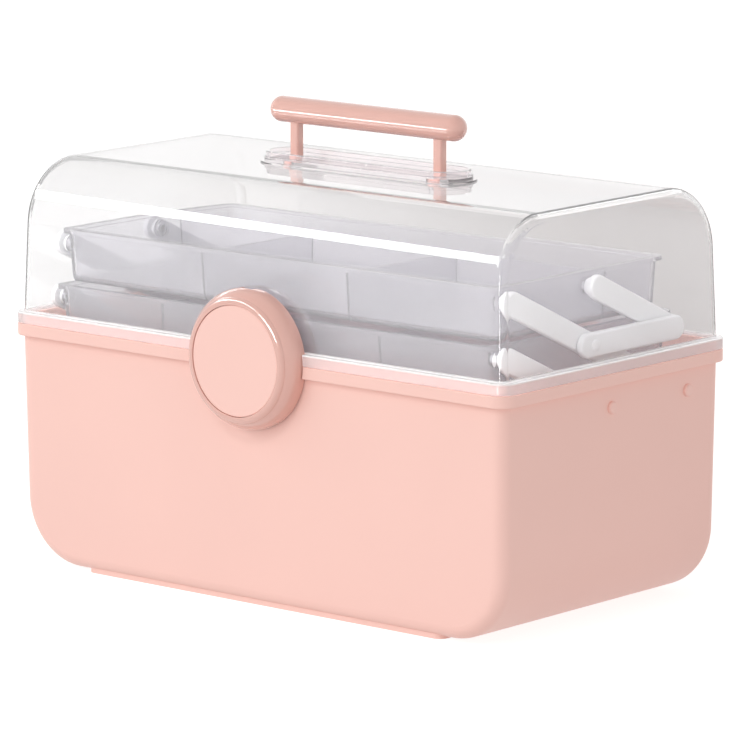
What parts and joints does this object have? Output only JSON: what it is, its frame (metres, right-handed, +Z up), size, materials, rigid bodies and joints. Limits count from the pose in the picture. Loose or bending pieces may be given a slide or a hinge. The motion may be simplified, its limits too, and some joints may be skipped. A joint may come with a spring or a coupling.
{
  "type": "makeup storage case",
  "caption": "Portable makeup case: tub with clear hinged lid, round front latch, push-down top handle and two clear trays on side arms that rise as it opens.",
  "frame": {"origin": "on the table, under the middle of the tub", "axes": "+X to the right seen from the latch, +Y towards the rear hinges, +Z up"},
  "size_m": [0.34, 0.2039, 0.2526],
  "materials": {
    "pink_satin": "satin",
    "pink_gloss": "gloss",
    "clear": "gloss, see-through",
    "frosted_clear": "satin, see-through",
    "white": "satin",
    "steel": "brushed"
  },
  "bodies": {
    "base": {"base_shell": "pink_satin", "hinge_pin_left": "steel", "hinge_pin_right": "steel", "base_pivots_left": "pink_satin", "base_pivots_right": "pink_satin"},
    "lid": {"lid_shell": "clear"},
    "handle": {"handle_bar": "pink_gloss", "handle_post_left": "pink_gloss", "handle_post_right": "pink_gloss", "handle_stop_left": "steel", "handle_stop_right": "steel", "handle_stop_screws": "steel"},
    "latch": {"latch_body": "pink_gloss", "latch_face_disc": "pink_satin", "latch_pin": "steel"},
    "long_arms": {"long_arm_left": "white", "long_arm_right": "white"},
    "short_arms": {"short_arm_left": "white", "short_arm_right": "white"},
    "lower_tray": {"lower_tray": "frosted_clear", "tie_bar_left": "white", "tie_bar_right": "white", "lower_tray_pivots_left": "white", "lower_tray_pivots_right": "white", "lower_tray_hubs_left": "white", "lower_tray_hubs_right": "white"},
    "upper_arms": {"upper_arm_left": "white", "upper_arm_right": "white"},
    "upper_tray": {"upper_tray": "frosted_clear", "upper_tray_pivots_left": "white", "upper_tray_pivots_right": "white", "upper_tray_hubs_left": "white", "upper_tray_hubs_right": "white"}
  },
  "joints": [
    {"name": "lid_hinge", "type": "hinge", "parent": "base", "child": "lid", "pos_m": [0, 0.09695, 0.131], "axis": [-1, 0, 0], "range_deg": [0, 115]},
    {"name": "handle_slide", "type": "slide", "parent": "lid", "child": "handle", "axis": [0, 0, 1], "range_m": [-0.0165, 0]},
    {"name": "latch_hinge", "type": "hinge", "parent": "lid", "child": "latch", "pos_m": [0, -0.09291, 0.1635], "axis": [-1, 0, 0], "range_deg": [0, 80]},
    {"name": "long_arm_pivot", "type": "hinge", "parent": "base", "child": "long_arms", "pos_m": [0, 0.0605, 0.1128], "axis": [-1, 0, 0], "range_deg": [0, 60]},
    {"name": "short_arm_pivot", "type": "hinge", "parent": "base", "child": "short_arms", "pos_m": [0, -0.0025, 0.1128], "axis": [-1, 0, 0], "range_deg": [0, 60]},
    {"name": "lower_tray_pivot", "type": "hinge", "parent": "long_arms", "child": "lower_tray", "pos_m": [0, -0.00736, 0.14473], "axis": [-1, 0, 0], "range_deg": [-60, 0]},
    {"name": "upper_arm_pivot", "type": "hinge", "parent": "lower_tray", "child": "upper_arms", "pos_m": [0, 0.06064, 0.14473], "axis": [-1, 0, 0], "range_deg": [0, 60]},
    {"name": "upper_tray_pivot", "type": "hinge", "parent": "long_arms", "child": "upper_tray", "pos_m": [0, -0.06708, 0.17283], "axis": [-1, 0, 0], "range_deg": [-60, 0]}
  ],
  "couplings": [
    {"joint": "long_arm_pivot", "follows": "lid_hinge", "ratio": 0.52174},
    {"joint": "short_arm_pivot", "follows": "lid_hinge", "ratio": 0.52174},
    {"joint": "lower_tray_pivot", "follows": "lid_hinge", "ratio": -0.52174},
    {"joint": "upper_arm_pivot", "follows": "lid_hinge", "ratio": 0.52174},
    {"joint": "upper_tray_pivot", "follows": "lid_hinge", "ratio": -0.52174}
  ]
}
